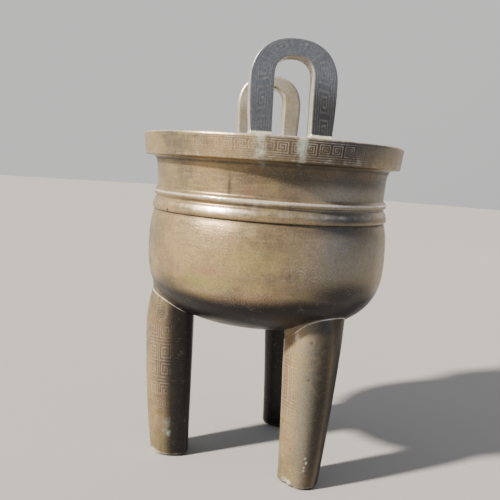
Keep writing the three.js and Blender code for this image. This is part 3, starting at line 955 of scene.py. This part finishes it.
def leg_inlay(tree, along, height):
    """Six columns round a leg, 14 mm apart. Each has a roundel near the top and two low down, and
    between them two strips of stepped key, squared spirals turned on end, as mirror images. Their
    wires lie up to 1.9 mm apart, coarser than the real ones, which would run together."""
    column = LEG_GIRTH / 6
    x = add(tree, MATH, [along, column / 2, -column / 2], operation="WRAP")
    aside = add(tree, MATH, [x], operation="ABSOLUTE")
    aside = add(tree, MATH, [aside, 3.9], operation="SUBTRACT")
    key = squared_spirals(tree, height, aside, cell=11.2, pitch_along=1.9, pitch_across=1.35,
                          half=0.17)
    middle, half = SHAFT_BAND
    on_shaft = add(tree, MATH, [height, middle, half], operation="COMPARE")
    wires = add(tree, MATH, [key, on_shaft], operation="MULTIPLY")
    for level, radius in ((82.5, 4.9), (30.5, 4.4), (21.5, 3.4)):
        y = add(tree, MATH, [height, level], operation="SUBTRACT")
        roundel = round_spiral(tree, x, y, radius, pitch=1.35, half=0.17)
        wires = add(tree, MATH, [wires, roundel], operation="MAXIMUM")
    return {"worn_wire": wires}


def handle_inlay(tree, along, across):
    """Long key fret along a handle: squared spirals drawn out to twice their width, running out
    into straight lines along both edges."""
    middle = add(tree, MATH, [across, 5.3], operation="SUBTRACT")
    fret = squared_spirals(tree, along, middle, cell=12.6, pitch_along=2.3, pitch_across=1.05,
                           half=0.2)
    return {"silver_wire": fret}


def patina_layer(tree, under, over, mark, noise, edge):
    """Lays one finish over another, where its mark is strong enough. Its edge is broken up by a
    noise: amount = smooth step of mark + reach * (noise - 0.5), from low to high. Returns the
    colour and the amount."""
    reach, low, high = edge
    offset = add(tree, MATH, [noise, reach, -reach / 2], operation="MULTIPLY_ADD")
    broken = add(tree, MATH, [mark, offset], operation="ADD")
    amount = add(tree, "ShaderNodeMapRange", {"Value": broken, "From Min": low, "From Max": high},
                 interpolation_type="SMOOTHSTEP")
    colour = add(tree, "ShaderNodeMix", {0: amount, 6: under, 7: over}, data_type="RGBA")
    return colour.outputs[2], amount


def cast_noises(tree, chart, wiping):
    """The noises of the finish: clouds about 26 mm across, blooms of colour 9 mm, mottle 4 mm and
    grain 0.9 mm, and on the squeezed chart the streaks of wiping, 1.2 mm wide."""
    place = add(tree, "ShaderNodeTexCoord", []).outputs["Object"]
    squeezed = add(tree, "ShaderNodeVectorMath", [chart, wiping], operation="MULTIPLY")
    return [
        add(tree, "ShaderNodeTexNoise", {
            "Vector": vector, "Scale": scale, "Detail": detail, "Roughness": roughness})
        for vector, scale, detail, roughness in (
            (place, 38.0, 4.0, 0.5), (place, 110.0, 3.0, 0.5), (place, 260.0, 6.0, 0.65),
            (place, 1100.0, 3.0, 0.5), (squeezed, 0.8, 4.0, 0.5))
    ]


def stored_fields(tree):
    """The chart and the named fields of MARKS, read from the mesh."""
    chart = add(tree, "ShaderNodeAttribute", [], attribute_name="chart").outputs["Vector"]
    marks = {}
    for title, names in MARKS.items():
        field = add(tree, "ShaderNodeAttribute", [], attribute_name=title)
        parts = add(tree, "ShaderNodeSeparateXYZ", [field.outputs["Vector"]])
        marks.update(zip(names, parts.outputs))
    return chart, marks


def aged_bronze(name, colours, inlay, finish):
    """Cast bronze, filed smooth, inlaid with beaten wire and patinated brown by wax and handling:
    a thin oxide skin over metal, so it shines like metal but brown and soft. The eye sees cloudy
    tones a few centimetres across, marks of wiping, a fine grain, bright rubbed crests and dull
    dirt in the hollows. Some marks are painted light: the dark, black and grime marks lay painted
    shade, and the rubbed marks painted highlight as well as wear."""
    material = bpy.data.materials.new(name)
    tree = empty_tree(material)
    chart, marks = stored_fields(tree)
    cloud, bloom, mottle, grain, streak = cast_noises(tree, chart, finish["wiping"])
    paint = {title: tuple(getattr(colours, title)) for title in FinishColours.__annotations__}
    light, deep, paint["black"] = (paint[title] for title in finish["tones"])

    # Patina: thick brown under thin brown, blooms of olive and copper, then the marks of each.
    tone = add(tree, MATH, [cloud, 0.8], operation="MULTIPLY")
    tone = add(tree, MATH, [streak, 0.2, tone], operation="MULTIPLY_ADD")
    colour, _ = patina_layer(tree, deep, light, tone, mottle, EDGES["thin"])
    for title in ("olive", "copper"):
        colour, _ = patina_layer(tree, colour, paint[title], bloom, streak, EDGES[title + "_bloom"])
    # The dark and black marks lay painted shade as well as patina.
    for title in ("olive", "copper", "black", "dark"):
        colour, _ = patina_layer(tree, colour, paint[title], marks[title], mottle, EDGES[title])

    # Inlay, where it is left.
    _, kept = patina_layer(tree, colour, colour, marks["left"], mottle, EDGES["left"])
    wires = 0.0
    on_chart = add(tree, "ShaderNodeSeparateXYZ", [chart])
    for title, drawn in inlay(tree, on_chart.outputs[0], on_chart.outputs[1]).items():
        worn = add(tree, MATH, [drawn, kept], operation="MULTIPLY")
        wires = add(tree, MATH, [worn, wires], operation="MAXIMUM")
        seen = add(tree, MATH, [worn, finish["shown"]], operation="MULTIPLY")
        colour = add(tree, "ShaderNodeMix", {0: seen, 6: colour, 7: paint[title]},
                     data_type="RGBA").outputs[2]

    # What lies on top: rubbed metal and painted highlight, grime and painted shade, corrosion,
    # solder.
    amounts = {}
    for title in ("rubbed_and_highlight", "grime_and_shade", "verdigris", "solder"):
        colour, amounts[title] = patina_layer(tree, colour, paint[title], marks[title], mottle,
                                              EDGES[title])

    # Fine speckle: pinholes darken the grain and bare points of metal brighten it.
    speck = add(tree, "ShaderNodeMapRange", {
        "Value": grain, "From Min": 0.3, "From Max": 0.7, "To Min": 0.84, "To Max": 1.16})
    colour = add(tree, "ShaderNodeMix", {0: 1.0, 6: colour, 7: speck.outputs[0]},
                 data_type="RGBA", blend_type="MULTIPLY").outputs[2]
    colour, _ = patina_layer(tree, colour, paint["rubbed_and_highlight"], grain, mottle, EDGES["bare_points"])

    # Crusts are duller and less metallic than the skin, and rubbed metal is smoother.
    matt = add(tree, "ShaderNodeMapRange", {
        "Value": streak, "From Min": 0.3, "From Max": 0.7, "To Min": 0.3, "To Max": 0.42})
    for title, more in (("grime_and_shade", 0.2), ("verdigris", 0.3), ("solder", 0.1), ("rubbed_and_highlight", -0.2)):
        matt = add(tree, MATH, [amounts[title], more, matt], operation="MULTIPLY_ADD")
    dull = add(tree, MATH, [amounts["grime_and_shade"], 0.5, amounts["verdigris"]],
               operation="MULTIPLY_ADD")
    metal = add(tree, "ShaderNodeMapRange", {"Value": dull, "To Min": 0.6, "To Max": 0.0})

    # Wires lie a little below the skin, and corrosion stands up from it.
    relief = add(tree, MATH, [wires, -0.3, mottle], operation="MULTIPLY_ADD")
    for amount, more in ((grain, 0.3), (streak, 0.3), (amounts["verdigris"], 0.8)):
        relief = add(tree, MATH, [amount, more, relief], operation="MULTIPLY_ADD")
    bump = add(tree, "ShaderNodeBump", {
        "Height": relief, "Strength": 0.35, "Distance": 0.3 * MM})
    shader = add(tree, "ShaderNodeBsdfPrincipled", {
        "Base Color": colour, "Metallic": metal, "Roughness": matt, "Normal": bump})
    add(tree, "ShaderNodeOutputMaterial", {"Surface": shader})
    return material


def matt_paper():
    """Pale grey paper, without any sheen."""
    material = bpy.data.materials.new("matt_paper_floor")
    tree = empty_tree(material)
    shader = add(tree, "ShaderNodeBsdfPrincipled", {
        "Base Color": linear("#989796"), "Roughness": 0.9})
    add(tree, "ShaderNodeOutputMaterial", {"Surface": shader})
    return material


# ------------------------------------------------------------------------------- stage

def make_floor():
    """A round floor in rings that crowd towards the vessel: radius = FLOOR_RADIUS * share^1.5."""
    rings = np.linspace(0.02, 1, FLOOR_RINGS)[:, None] ** 1.5 * FLOOR_RADIUS
    angle = np.linspace(0, 2 * np.pi, FLOOR_SECTORS + 1)[None, :-1]
    disc = np.stack(np.broadcast_arrays(
        rings * np.cos(angle), rings * np.sin(angle), CAD_BOX[0][2]), -1)
    middle, _, quads = ring_faces(FLOOR_RINGS, FLOOR_SECTORS)
    faces = quads[:, ::-1].tolist() + [middle[:-1].tolist()]
    floor = linked_mesh("floor", disc.reshape(-1, 3), faces)
    floor.data.materials.append(matt_paper())


def make_room(stage):
    """A soft grey room, bright on one side and above, and darker and cooler on the other."""
    world = bpy.data.worlds.new("studio_room")
    tree = empty_tree(world)
    way = add(tree, "ShaderNodeTexCoord", []).outputs["Generated"]
    side = add(tree, "ShaderNodeVectorMath", [way, BRIGHT_SIDE],
               operation="DOT_PRODUCT").outputs["Value"]
    lit = add(tree, "ShaderNodeMapRange", {
        "Value": side, "From Min": -0.3, "From Max": 0.7}, interpolation_type="SMOOTHSTEP")
    glow = add(tree, "ShaderNodeMapRange", {
        "Value": lit, "To Min": stage.room_dark, "To Max": stage.room_light})
    sky = add(tree, "ShaderNodeMix", {
        0: lit, 6: linear("#c2c5ca"), 7: linear("#e9e9e8")}, data_type="RGBA")
    room = add(tree, "ShaderNodeBackground", {"Color": sky.outputs[2], "Strength": glow})
    add(tree, "ShaderNodeOutputWorld", {"Surface": room})
    bpy.context.scene.world = world


def heading(azimuth, elevation):
    """The direction of an azimuth from +X and an elevation, both in radians."""
    return Vector((math.cos(azimuth) * math.cos(elevation),
                   math.sin(azimuth) * math.cos(elevation), math.sin(elevation)))


def make_light(light, stage):
    """One of the LIGHTS, aimed at the vessel."""
    lamp = bpy.data.lights.new(light["name"], light["kind"])
    lamp.energy = getattr(stage, light["power"])
    lamp.color = linear(light["tint"])[:3]
    for spread in ("angle", "size"):
        if spread in light:
            setattr(lamp, spread, light[spread])
    holder = bpy.data.objects.new(light["name"], lamp)
    way = heading(math.radians(light["azimuth"]), math.radians(light["elevation"]))
    turn = way.to_track_quat("Z", "Y").to_matrix().to_4x4()
    holder.matrix_world = Matrix.Translation(Vector(AIM) + way * light["distance"]) @ turn
    bpy.context.scene.collection.objects.link(holder)


def make_camera(stage):
    """The camera, turned by yaw, pitch and roll from a level view of the vessel's axis."""
    sight = heading(stage.azimuth + math.pi - stage.yaw, -stage.pitch)
    right = sight.cross(Vector((0, 0, 1))).normalized()
    level = Matrix((right, right.cross(sight), -sight)).transposed()
    body = bpy.data.cameras.new("camera")
    body.lens = stage.lens
    body.sensor_width = 36
    body.clip_start = 0.01
    camera = bpy.data.objects.new("camera", body)
    spin = (level @ Matrix.Rotation(stage.roll, 3, "Z")).to_4x4()
    place = heading(stage.azimuth, 0) * stage.distance + Vector((0, 0, stage.height))
    camera.matrix_world = Matrix.Translation(place) @ spin
    bpy.context.scene.collection.objects.link(camera)
    bpy.context.scene.camera = camera


# --------------------------------------------------------------------------- operators

def settle(piece, node, material):
    """Gives a finished piece its material, and its place in the frame."""
    piece.data.materials.append(material)
    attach(piece, "root")
    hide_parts(node)


class MakeBowl(bpy.types.Operator):
    """Make the bowl with its band, bead, neck and rim"""

    bl_idname = "vessel.make_bowl"
    bl_label = "Make Bowl"

    def execute(self, context):
        scene = context.scene
        metal = aged_bronze("patinated_cast_bronze", scene.vessel_colours, rim_inlay, BOWL_FINISH)
        piece = turned_bowl(scene.vessel_bowl)
        settle(piece, "bowl", metal)
        return {"FINISHED"}


class MakeLegs(bpy.types.Operator):
    """Make the three legs with their shoulders and solder collars"""

    bl_idname = "vessel.make_legs"
    bl_label = "Make Legs"

    def execute(self, context):
        scene = context.scene
        metal = aged_bronze("patinated_cast_bronze_legs", scene.vessel_colours, leg_inlay,
                            LEG_FINISH)
        for leg in LEGS:
            piece = leg_surface(leg["node"] + "_cast", scene.vessel_legs, scene.vessel_bowl, leg)
            settle(piece, leg["node"], metal)
        return {"FINISHED"}


class MakeHandles(bpy.types.Operator):
    """Make the two loop handles with the solder round their feet"""

    bl_idname = "vessel.make_handles"
    bl_label = "Make Handles"

    def execute(self, context):
        scene = context.scene
        metal = aged_bronze("blackened_cast_bronze", scene.vessel_colours, handle_inlay,
                            HANDLE_FINISH)
        for handle in HANDLES:
            piece = handle_surface(handle["node"] + "_cast", scene.vessel_handles, handle)
            settle(piece, handle["node"], metal)
        return {"FINISHED"}


class SetStage(bpy.types.Operator):
    """Set up the floor, the room, the soft lights and the camera"""

    bl_idname = "vessel.set_stage"
    bl_label = "Set Stage"

    def execute(self, context):
        stage = context.scene.vessel_stage
        make_floor()
        make_room(stage)
        for light in LIGHTS:
            make_light(light, stage)
        make_camera(stage)
        return {"FINISHED"}


class VesselPanel(bpy.types.Panel):
    """Lists the steps that build the vessel"""

    bl_idname = "VIEW3D_PT_vessel"
    bl_label = "Bronze Vessel"
    bl_space_type = "VIEW_3D"
    bl_region_type = "UI"
    bl_category = "Vessel"

    def draw(self, context):
        for step in OPERATORS:
            self.layout.operator(step.bl_idname)


OPERATORS = (SetStage, MakeBowl, MakeLegs, MakeHandles)
SETTINGS = (
    ("vessel_bowl", BowlSizes),
    ("vessel_legs", LegSizes),
    ("vessel_handles", HandleSizes),
    ("vessel_colours", FinishColours),
    ("vessel_stage", StageSettings),
)


def register():
    for name, group in SETTINGS:
        bpy.utils.register_class(group)
        setattr(bpy.types.Scene, name, PointerProperty(type=group))
    for kind in OPERATORS + (VesselPanel,):
        bpy.utils.register_class(kind)


def unregister():
    for kind in reversed(OPERATORS + (VesselPanel,)):
        bpy.utils.unregister_class(kind)
    for name, group in reversed(SETTINGS):
        delattr(bpy.types.Scene, name)
        bpy.utils.unregister_class(group)


def main():
    """Builds the stage and every piece."""
    register()
    bpy.ops.vessel.set_stage()
    bpy.ops.vessel.make_bowl()
    bpy.ops.vessel.make_legs()
    bpy.ops.vessel.make_handles()


if __name__ == "__main__":
    main()
